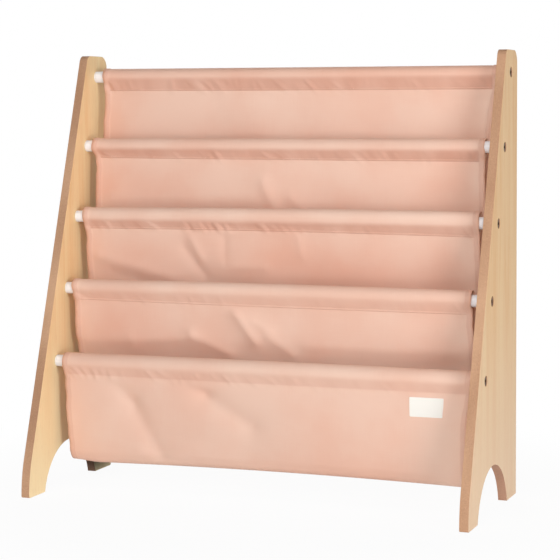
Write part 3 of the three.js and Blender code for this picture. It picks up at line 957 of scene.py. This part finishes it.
TAG_WIDTH = 44 * MM
TAG_HEIGHT = 26.5 * MM
TAG_FROM_END = 33.5 * MM
TAG_BELOW_SEAM = 6 * MM
TAG_MIDDLE = (
    cloth_half - TAG_FROM_END - TAG_WIDTH / 2,
    seam_below(FRONT_ROD) + TAG_BELOW_SEAM + TAG_HEIGHT / 2,
)
print("folds below each rod:", [len(row) for row in FOLD_SHARES])


# %% Folds and puckers: how far they stand out
def fold_rise(rod, across, down):
    """How far the wall below a rod stands towards the reader, across and down from the rod."""
    here = Vector((across, down))
    rise = 0
    for start_x, start_z, end_x, end_z, height, width in FOLD_SHARES[rod]:
        start = Vector((start_x * 2 * cloth_half, start_z * POCKET_DEPTH))
        run = Vector((end_x * 2 * cloth_half, end_z * POCKET_DEPTH)) - start
        share = min(max((here - start).dot(run) / run.length_squared, 0), 1)
        off = (here - start - run * share).length / (width * MM)
        rise += height * FOLD_DEPTH * math.exp(FOLD_FALL * (FOLD_CREST - math.hypot(off, FOLD_CREST)))
    slack = noise.noise(Vector((across / SLACK_ACROSS, down / SLACK_DOWN, 7.3 * rod)))
    rise += SLACK_RISE * slack
    rise *= smooth_step(down, seam_below(rod), 2 * seam_below(rod))
    rise *= 1 - smooth_step(down, FRONT_DROP_SHARES[-1] * POCKET_DEPTH, POCKET_DEPTH)
    if rod == FRONT_ROD:
        off = (here - Vector(TAG_MIDDLE)).length
        rise *= smooth_step(off, TAG_WIDTH / 2, TAG_WIDTH)
    return rise


def pucker_rise(rod, across, down):
    """Small slanting puckers that bunch around one place along the seam and at the cloth's ends."""
    share = down / seam_below(rod)
    zone = smooth_step(share, *PUCKER_START_SHARES) * (1 - smooth_step(share, *PUCKER_END_SHARES))
    if zone <= 0:
        return 0
    bunch_at, reach, strength = PUCKER_SHARES[rod]
    away = (across / (2 * cloth_half) - bunch_at) / reach
    bunch = PUCKER_LEAST_SHARE + strength * math.exp(-away * away)
    bunch += PUCKER_EDGE_SHARE * smooth_step(abs(across) / cloth_half, *PUCKER_EDGE_SHARES)
    lean = PUCKER_LEAN + noise.noise(Vector((across / LEAN_GAP, 7.9 * rod, 4.5)))
    lead = across - lean * down
    ripple = noise.noise(Vector((lead / PUCKER_GAP, 11.7 * rod + 0.4 * down / PUCKER_GAP, 0.5)))
    ripple += RIPPLE_SHARE * noise.noise(Vector((lead / PUCKER_GAP * 2, 5.1 * rod, 8.5)))
    return PUCKER_DEPTH * zone * bunch * max(ripple, RIPPLE_DIP_SHARE)


# %% [markdown]
# The photograph's pink isn't even, and lamps alone don't repeat it, so each wall has a few soft patches:
# their middle across and down, their reach both ways, and how much deeper they are, with a minus for a
# paler one. The patches are partly the cloth's uneven tone and partly painted light and shade; the pale
# ones at the right ends are painted light where the right board shades the cloth. Where a sleeve's sewn
# tail lies behind it, the two layers let less light through, so the band is painted deeper, as shade.

# %% Patches of uneven tone and of painted light and shade, with one row for each rod from the top
TONE_AND_SHADE_SHARES = [
    [(0, -0.05, 0.7, 0.1, 0.3), (0.05, 0.35, 0.2, 0.28, -0.15), (0.5, 0.3, 0.04, 0.4, -0.4)],
    [(-0.38, 0.4, 0.14, 0.2, 0.4), (0, 0.3, 0.15, 0.2, -0.1), (0.38, 0.35, 0.14, 0.25, 0.2),
     (0.49, 0.35, 0.04, 0.4, -0.5)],
    [(-0.38, 0.35, 0.14, 0.2, 0.3), (0.05, 0.38, 0.2, 0.25, 0.45), (0.4, 0.35, 0.15, 0.28, 0.15),
     (0, 0.6, 0.2, 0.14, 0.15), (0, -0.05, 0.7, 0.1, -0.25), (0.48, 0.35, 0.05, 0.4, -0.45)],
    [(-0.38, 0.35, 0.15, 0.2, 0.3), (0, 0.3, 0.15, 0.25, -0.2), (0, -0.05, 0.7, 0.1, -0.15),
     (0.48, 0.35, 0.05, 0.4, -0.35)],
    [(-0.38, 0.5, 0.15, 0.4, -0.3), (0, 0.5, 0.2, 0.4, -0.12), (0, -0.05, 0.7, 0.1, -0.2),
     (0.45, 0.7, 0.06, 0.45, -0.6)],
]
# Painted shade where two layers lie: each rod's sewn band, and the hems.
BAND_SHADE_SHARES = [1, 1, 0.9, 0.4, 0.45]
BAND_SHADE_DRIFT_SHARE = 0.35
HEM_SHADE_SHARE = 0.5
print("patches below each rod:", [len(row) for row in TONE_AND_SHADE_SHARES])


def tone_and_shade_at(rod, across, down):
    """How much deeper the cloth's pink is at a place, from soft patches of uneven colour and of painted
    light and shade.
    """
    tone_and_shade = 0
    for middle_x, middle_z, reach_x, reach_z, strength in TONE_AND_SHADE_SHARES[rod]:
        off_x = (across / (2 * cloth_half) - middle_x) / reach_x
        off_z = (down / POCKET_DEPTH - middle_z) / reach_z
        tone_and_shade += strength * math.exp(-off_x * off_x - off_z * off_z)
    return tone_and_shade


def band_shade_at(rod, across):
    """How much painted shade the second layer gives, uneven along the seam."""
    drift = noise.noise(Vector((across / (2 * PUCKER_GAP), 3.1 * rod, 2.5)))
    return BAND_SHADE_SHARES[rod] * (1 + BAND_SHADE_DRIFT_SHARE * drift)


# %% [markdown]
# A grid has one column for each place across the cloth and one row for each station of its line.
# The surface laid is the outer side of the pocket, and Solidify gives it the cloth's thickness
# inwards: one layer in the middle, and two in the hems at both ends, which a vertex group marks.
# Small lifts and shifts bring the crests, the seams and the ends to where the photograph has them.

# %% Laying a grid: sizes
HEM = 7.5 * MM
HEM_STEP = 1.6 * MM
EDGE_WOBBLE = 1.4 * MM
WOBBLE_GAP = 14 * MM
ROD_CLEARANCE = 0.5 * MM
CORNER_DRAW = 5 * MM
CORNER_LIFT = 2.5 * MM
CORNER_REACH = 45 * MM
BOTTOM_LIFT = 3.4 * MM
BOTTOM_MIDDLE = 20 * MM
BOTTOM_REACH = 261 * MM

# What each rod's cloth does at its ends, in millimetres: how far its edges draw in, how far its
# sleeve is shifted at the left and right end, and how far the sleeve's crest and its seam are lifted
# at the left end, in the middle and at the right end.
EDGE_DRAWS = [3, 4.2, 2.4, 1.8, 3]
SLEEVE_ENDS = [(5, 7), (2.5, -4.2), (3.3, -2.9), (2.6, -3.9), (4, 6.4)]
CREST_LIFTS = [(1.1, 0, -0.9), (0, 0.3, -0.3), (0.2, 2.8, 2.2), (0, 1.6, 0.6), (-0.6, 0.2, -0.6)]
SEAM_LIFTS = [(1.5, 0, -0.7), (2, 0.3, -0.6), (0, 0.8, -2), (1.7, -0.3, -0.6), (0.8, 0, 0.3)]

EDGE_SHARE = 0.8
SLEEVE_FADE_SHARES = (0.5, 4)
DRAW_SHARES = (0.5, 2.5)
BOTTOM_SHARE = 0.5


# %% Laying a grid: a point of the cloth


def outward(line, row):
    """The direction out of the pocket at a station, in depth and height."""
    before = line[max(row - 1, 0)][0]
    after = line[min(row + 1, len(line) - 1)][0]
    run = (after - before).normalized()
    return Vector((-run.y, run.x))


def end_shift(rod, across, down):
    """The sleeves don't end in one line, and below its seam the cloth draws in a little."""
    left, right = SLEEVE_ENDS[rod]
    share = down / seam_below(rod)
    near_edge = smooth_step(abs(across), EDGE_SHARE * cloth_half, cloth_half)
    fade = 1 - smooth_step(share, *SLEEVE_FADE_SHARES)
    sleeve = (left if across < 0 else right) * MM * fade
    drawn = EDGE_DRAWS[rod] * MM * smooth_step(share, *DRAW_SHARES)
    if rod == FRONT_ROD and across < 0:
        drawn += CORNER_DRAW * smooth_step(down, seam_below(rod), POCKET_DEPTH)
    wobble = EDGE_WOBBLE * noise.noise(Vector((down / WOBBLE_GAP, 3.7 * rod, math.copysign(5, across))))
    return near_edge * (sleeve + wobble - math.copysign(drawn, across))


def sleeve_lift(rod, across, down):
    """How far a sleeve's crest and its seam stand above their straight lines at a place across."""
    share = across / cloth_half
    heights = []
    for left, centre, right in (CREST_LIFTS[rod], SEAM_LIFTS[rod]):
        heights.append(centre + (right - left) / 2 * share + ((right + left) / 2 - centre) * share * share)
    crest, seam = heights
    up = smooth_step(seam_below(rod) - down, 0, seam_below(rod) + SLEEVE_RADIUS)
    below = smooth_step(down, seam_below(rod), 4 * seam_below(rod))
    return (seam + (crest - seam) * up) * (1 - below) * MM


def clear_of_rod(place, rod):
    """The same place, moved straight away from the rod where it would sink into it."""
    away = Vector((0, place.y - rods[rod].y, place.z - rods[rod].z))
    short = rod_radius + ROD_CLEARANCE - away.length
    return place + away.normalized() * short if short > 0 else place


def cloth_place(line, row, across, lift):
    """A point of the cloth, lifted out of the pocket from its middle layer."""
    point, rod, near, _ = line[row]
    down = rods[rod].z - point.y
    rise = pucker_rise(rod, across, down) + near * fold_rise(rod, across, down)
    out = outward(line, row) * lift
    shift = near * end_shift(rod, across, down)
    if near < 1:
        shift += (1 - near) * end_shift(rod - 1, across, rods[rod - 1].z - point.y)
    place = Vector((across + shift, point.x - rise + out.x, point.y + out.y))
    place.z += sleeve_lift(rod, across, down)
    if rod == FRONT_ROD:
        low = near * smooth_step(down, BOTTOM_SHARE * POCKET_DEPTH, POCKET_DEPTH)
        end = 1 - smooth_step(across + cloth_half, 0, CORNER_REACH)
        away = (across - BOTTOM_MIDDLE) / BOTTOM_REACH
        place.z += low * (CORNER_LIFT * end + BOTTOM_LIFT * max(0, 1 - away * away))
    return clear_of_rod(place, rod)


# %% Laying a grid: its columns and rows
def hem_columns():
    """Places across the cloth, with a close pair where each hem ends."""
    inner = cloth_half - HEM
    count = round(2 * (inner - HEM_STEP) / CLOTH_STEP)
    run = [-(inner - HEM_STEP) + 2 * (inner - HEM_STEP) * step / count for step in range(count + 1)]
    edge = [cloth_half, cloth_half - HEM / 2, inner]
    return [-place for place in edge] + run + edge[::-1]


def run_lengths(line):
    lengths = [0]
    for before, after in zip(line, line[1:]):
        lengths.append(lengths[-1] + (after[0] - before[0]).length)
    return lengths


def laid_grid(line, columns, lift):
    """A bmesh grid over the columns and the line's stations, with a map in metres."""
    lengths = run_lengths(line)
    shape = bmesh.new()
    across_map = shape.loops.layers.uv.new("cloth")
    bmesh.ops.create_grid(shape, x_segments=len(columns) - 1, y_segments=len(line) - 1, size=0.5)
    mapped = {}
    second_layer_shade = shape.verts.layers.float.new("double_shade")
    tone_and_shade_layer = shape.verts.layers.float.new("tone_and_shade")
    hemmed = shape.verts.layers.float.new("hemmed")
    for vert in shape.verts:
        across = columns[round((vert.co.x + 0.5) * (len(columns) - 1))]
        row = round((vert.co.y + 0.5) * (len(line) - 1))
        point, rod, near, layers = line[row]
        mapped[vert] = (across, lengths[row])
        vert[hemmed] = abs(across) > cloth_half - HEM - HEM_STEP / 2
        # Painted shade where two layers lie.
        vert[second_layer_shade] = HEM_SHADE_SHARE if vert[hemmed] else layers * band_shade_at(rod, across)
        # Patches of uneven tone and of painted light and shade.
        vert[tone_and_shade_layer] = near * tone_and_shade_at(rod, across, rods[rod].z - point.y)
        vert.co = cloth_place(line, row, across, lift)
    for face in shape.faces:
        for loop in face.loops:
            loop[across_map].uv = mapped[loop.vert]
    shape.normal_update()
    return shape


print("columns across a cloth:", len(hem_columns()))


# %% The four pocket cloths
def add_cloth(pocket):
    line = pocket_line(pocket)
    columns = hem_columns()
    shape = laid_grid(line, columns, OUTER_OFFSET)
    face = min(shape.faces, key=lambda f: f.calc_center_median().z)
    if face.normal.z > 0:
        bmesh.ops.reverse_faces(shape, faces=shape.faces)
    hemmed = shape.verts.layers.float["hemmed"]
    weights = shape.verts.layers.deform.new()
    for vert in shape.verts:
        if vert[hemmed]:
            vert[weights][0] = 1
    piece = new_object(f"cloth_{pocket + 1}", shape)
    piece.data.shade_smooth()
    piece.data.materials.append(canvas)
    piece.vertex_groups.new(name="hem")
    layer = piece.modifiers.new("thickness", "SOLIDIFY")
    layer.thickness = 2 * CLOTH_THICK
    layer.offset = -1
    layer.vertex_group = "hem"
    layer.thickness_vertex_group = 0.5
    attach(piece, "root")
    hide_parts(f"pocket_cloth_{pocket + 1}")
    flat = (2 * cloth_half, run_lengths(line)[-1])
    print(piece.name, "flat", [round(size / MM) for size in flat], "mm,", len(line), "rows")
    return line


lines = [add_cloth(pocket) for pocket in range(FRONT_ROD)]

# %% [markdown]
# Stitches are what tells sewn cloth from moulded. Each is a small squashed ball of thread, a few
# dozen faces, set at its place on the cloth and turned along the seam. A row closes every sleeve
# below its rod, and two more run down the hems at the cloth's ends.

# %% Stitches: one shape of many
STITCH_GAP = 3.4 * MM
STITCH_LONG = 2.5 * MM
STITCH_THICK = 0.35 * MM
STITCH_SUNK = 0.075 * MM
STITCH_INSET = 1.5 * MM


def stitched(places):
    """One bmesh of stitches from (place, direction) pairs, copied from a single ball."""
    ball = bmesh.new()
    bmesh.ops.create_uvsphere(ball, u_segments=6, v_segments=5, radius=1)
    ball.verts.ensure_lookup_table()
    round_points = [vert.co.copy() for vert in ball.verts]
    round_faces = [[vert.index for vert in face.verts] for face in ball.faces]
    ball.free()
    size = Matrix.Diagonal((STITCH_LONG / 2, STITCH_THICK / 2, STITCH_THICK / 2))
    points, faces = [], []
    for place, run in places:
        turn = run.to_track_quat("X", "Z").to_matrix() @ size
        faces += [[len(points) + index for index in face] for face in round_faces]
        points += [place + turn @ point for point in round_points]
    mesh = bpy.data.meshes.new("passing")
    mesh.from_pydata(points, [], faces)
    shape = bmesh.new()
    shape.from_mesh(mesh)
    bpy.data.meshes.remove(mesh)
    return shape


# %% Stitches: their places
def seam_places(line, row, lift):
    """Stitches along a seam, from one end of the cloth to the other."""
    count = round(2 * (cloth_half - STITCH_GAP) / STITCH_GAP)
    spots = []
    for step in range(count + 1):
        across = -cloth_half + STITCH_GAP + 2 * (cloth_half - STITCH_GAP) * step / count
        spots.append((cloth_place(line, row, across, lift), Vector((1, 0, 0))))
    return spots


def stitch_down(line, row, across, lift):
    """The place of a stitch that runs down the cloth, and its direction."""
    run = cloth_place(line, row + 1, across, lift) - cloth_place(line, row - 1, across, lift)
    return cloth_place(line, row, across, lift), run


def hem_places(line, sign, lift):
    """Stitches down one hem, a gap apart along the cloth's line."""
    across = sign * (cloth_half - HEM + STITCH_INSET)
    lengths = run_lengths(line)
    spots, wanted = [], STITCH_GAP / 2
    for row in range(1, len(line) - 1):
        if lengths[row] < wanted:
            continue
        spots.append(stitch_down(line, row, across, lift))
        wanted += STITCH_GAP
    return spots


def front_seam_row(line, rod):
    """The station of the rod's seam on the cloth's visible layer."""
    seam = seam_point(rod)
    return min(range(len(line)), key=lambda row: (line[row][0] - seam).length)


def add_stitches():
    for pocket, line in enumerate(lines):
        places = seam_places(line, front_seam_row(line, pocket), INNER_OFFSET + STITCH_SUNK)
        if pocket + 1 == FRONT_ROD:
            places += seam_places(line, front_seam_row(line, FRONT_ROD), OUTER_OFFSET - STITCH_SUNK)
        for sign in SIDES.values():
            for lift in (OUTER_OFFSET - STITCH_SUNK, OUTER_OFFSET - 2 * CLOTH_THICK + STITCH_SUNK):
                places += hem_places(line, sign, lift)
        add_piece(f"stitching_{pocket + 1}", stitched(places), pink_thread, "sling_canvas")
        print("cloth", pocket + 1, "has", len(places), "stitches")


add_stitches()

# %% [markdown]
# A small cream tag is sewn near the right end of the lowest pocket. It is a short piece of woven
# tape with its ends folded under, so it is laid on the wall's own surface, a little proud of it,
# and stitched along both ends. It carries no words.

# %% The sewn tag
TAG_THICK = 0.5 * MM
TAG_LIFT = OUTER_OFFSET + 0.3 * MM
TAG_STEP = 1.2 * MM
TAG_ROUND = 1.2 * MM
TAG_INSET = 1.6 * MM
TAG_COLUMNS = 24


def tag_line():
    """The stations of the front wall that the tag covers, from its lower end up."""
    wall = smooth_line(front_wall(FRONT_ROD), TAG_STEP)
    top = rods[FRONT_ROD].z - TAG_MIDDLE[1] + TAG_HEIGHT / 2
    rows = [point for point in wall if top - TAG_HEIGHT <= point.y <= top]
    return [(point, FRONT_ROD, 1, 0) for point in rows[::-1]]


def add_tag():
    line = tag_line()
    left = TAG_MIDDLE[0] - TAG_WIDTH / 2
    columns = [left + TAG_WIDTH * step / TAG_COLUMNS for step in range(TAG_COLUMNS + 1)]
    shape = laid_grid(line, columns, TAG_LIFT)
    if min(shape.faces, key=lambda f: f.calc_center_median().y).normal.y > 0:
        bmesh.ops.reverse_faces(shape, faces=shape.faces)
    corners = [vert for vert in shape.verts if len(vert.link_faces) == 1]
    bmesh.ops.bevel(
        shape, geom=corners, affect="VERTICES", offset=TAG_ROUND, segments=4, profile=0.5, material=-1
    )
    shape = with_modifier(shape, "SOLIDIFY", thickness=TAG_THICK, offset=1)
    piece = add_piece("cream_tag", shape, tape, "tag_cloth", "sewn_tag")
    places = []
    for across in (left + TAG_INSET, left + TAG_WIDTH - TAG_INSET):
        for row in range(1, len(line) - 1, 2):
            places.append(stitch_down(line, row, across, TAG_LIFT + TAG_THICK - STITCH_SUNK))
    add_piece("tag_stitching", stitched(places), cream_thread, "tag_cloth")
    print("tag with", len(places), "stitches")


add_tag()

# %% [markdown]
# The studio is a white floor that runs into a white background. The background's white comes from the Light
# Path, for what the camera and reflections see, so the lamps can stay at a plain level and the cloth keeps
# its colour. The floor still takes the soft shadow under the feet. Around the shelf the floor also glows
# for the light that bounces off it, a painted light that lights the shelf from below, weaker right under it
# and fading further off.

# %% Floor
FLOOR_SIZE = 12
FLOOR_GREY = (0.9, 0.9, 0.9, 1)
FLOOR_SHADOW = 0.05
SHADOW_FADE = (0.3, 0.7)
# Painted light: how strongly the floor glows around the shelf.
FLOOR_GLOW = 0.68
GLOW_START = (0.15, 0.42)
GLOW_FADE = (0.5, 1.3)
GLOW_DROP = 0.5


def seen_directly(nodes):
    """1 for what the camera sees, also in a reflection or through a clear piece, and 0 for the rest."""
    rays = ("Camera", "Glossy", "Transmission")
    camera, glossy, clear = [nodes.node("ShaderNodeLightPath", output=f"Is {ray} Ray") for ray in rays]
    settings = {"operation": "ADD", "use_clamp": True}
    return nodes.node("ShaderNodeMath", settings, {0: camera, 1: glossy + clear})


def add_floor():
    shape = bmesh.new()
    bmesh.ops.create_grid(shape, x_segments=1, y_segments=1, size=FLOOR_SIZE / 2)
    floor = new_object("floor", shape)
    finish = Finish("floor_white", Base_Color=FLOOR_GREY, Roughness=1, Specular_IOR_Level=0)
    reach = finish.node("ShaderNodeVectorMath", {"operation": "LENGTH"}, {0: finish.place()}, output=1)
    shadow = (1 - reach.between(*SHADOW_FADE)) * FLOOR_SHADOW
    # Painted light: the floor glows for the light that bounces off it, in a ring around the shelf.
    glow = reach.between(*GLOW_START) * (1 - reach.between(*GLOW_FADE) * GLOW_DROP) * FLOOR_GLOW
    seen = seen_directly(finish)
    share = seen * (1 - shadow) + (1 - seen) * glow
    lit = Wire(finish, finish.shader.outputs[0])
    white = finish.node("ShaderNodeEmission", None, {"Strength": 1})
    mix = finish.node("ShaderNodeMixShader", None, {0: share, 1: lit, 2: white})
    finish.feed(finish.tree.nodes["Material Output"].inputs["Surface"], mix)
    floor.data.materials.append(finish.material)


add_floor()
print("floor of", FLOOR_SIZE, "m")

# %% World
WORLD_WARM = (1, 0.88, 0.8, 1)
WORLD_LEVEL = 0.04


def set_world():
    world = bpy.data.worlds.new("studio")
    world.use_nodes = True
    nodes = Nodes(world.node_tree)
    back = nodes.tree.nodes["Background"]
    nodes.feed(back.inputs["Color"], WORLD_WARM)
    nodes.feed(back.inputs["Strength"], WORLD_LEVEL)
    white = nodes.node("ShaderNodeBackground", None, {"Color": (1, 1, 1, 1)})
    inputs = {0: seen_directly(nodes), 1: Wire(nodes, back.outputs[0]), 2: white}
    mix = nodes.node("ShaderNodeMixShader", None, inputs)
    nodes.feed(nodes.tree.nodes["World Output"].inputs["Surface"], mix)
    bpy.context.scene.world = world
    print("world", world.name, "with", len(world.node_tree.nodes), "nodes")


set_world()

# %% [markdown]
# Four square lamps light the shelf: a key lamp near the camera, one low at the right for the right
# board, a weak one from above, and one from behind on the other side. Each is placed by its
# azimuth from the front, its height in degrees and its distance in metres, and its level says how
# bright it makes a surface that faces it, so a lamp can be moved without a new strength.

# %% Lamps
SHELF_MIDDLE = Vector((0, 0, 0.3))
FULL_LIGHT = math.pi * math.pi


def add_softbox(name, azimuth, height, distance, size, level):
    """A square lamp that lights a surface facing it by its level: at 1, as bright as its colour."""
    turn = math.radians(azimuth)
    rise = math.radians(height)
    away = Vector((math.cos(rise) * math.sin(turn), -math.cos(rise) * math.cos(turn), math.sin(rise)))
    lamp = bpy.data.lights.new(name, "AREA")
    lamp.size = size
    lamp.energy = level * FULL_LIGHT * distance * distance
    holder = bpy.data.objects.new(name, lamp)
    bpy.context.scene.collection.objects.link(holder)
    holder.location = SHELF_MIDDLE + away * distance
    holder.rotation_euler = (-away).to_track_quat("-Z", "Y").to_euler()
    print("lamp", name, "of", round(lamp.energy, 1), "watts")


add_softbox("key", azimuth=14, height=17, distance=3, size=1.3, level=0.4)
add_softbox("side", azimuth=54, height=3, distance=2.6, size=1, level=0.42)
add_softbox("top", azimuth=0, height=70, distance=2.4, size=1.2, level=0.15)
add_softbox("back", azimuth=205, height=25, distance=3, size=1.5, level=0.3)

# %% [markdown]
# In the photograph the far rear foot is the darkest corner, but here the white floor lights it. A
# photographer would hold a black board, a flag, close to it. This one stands in front of the foot
# and beside it, and the camera doesn't see it.

# %% A flag by the far rear foot
FLAG_GAP = 14 * MM
FLAG_HEIGHT = 46 * MM
FLAG_BLACK = (0.01, 0.01, 0.01, 1)


def add_flag():
    near = panel_high.y - REAR_FOOT - FLAG_GAP
    inner = -panel_low.x + FLAG_GAP
    line = [(-panel_high.x - FLAG_GAP, near), (inner, near), (inner, panel_high.y)]
    shape = bmesh.new()
    corners = [shape.verts.new((x, y, 0)) for x, y in line]
    edges = [shape.edges.new(pair) for pair in zip(corners, corners[1:])]
    risen = bmesh.ops.extrude_edge_only(shape, edges=edges)["geom"]
    upper = [item for item in risen if isinstance(item, bmesh.types.BMVert)]
    bmesh.ops.translate(shape, verts=upper, vec=(0, 0, FLAG_HEIGHT))
    flag = new_object("flag", shape)
    flag.visible_camera = False
    finish = Finish("black_flag", Base_Color=FLAG_BLACK, Roughness=1, Specular_IOR_Level=0)
    flag.data.materials.append(finish.material)
    print("flag of", len(flag.data.polygons), "boards")


add_flag()

bpy.context.scene.view_settings.view_transform = "Standard"
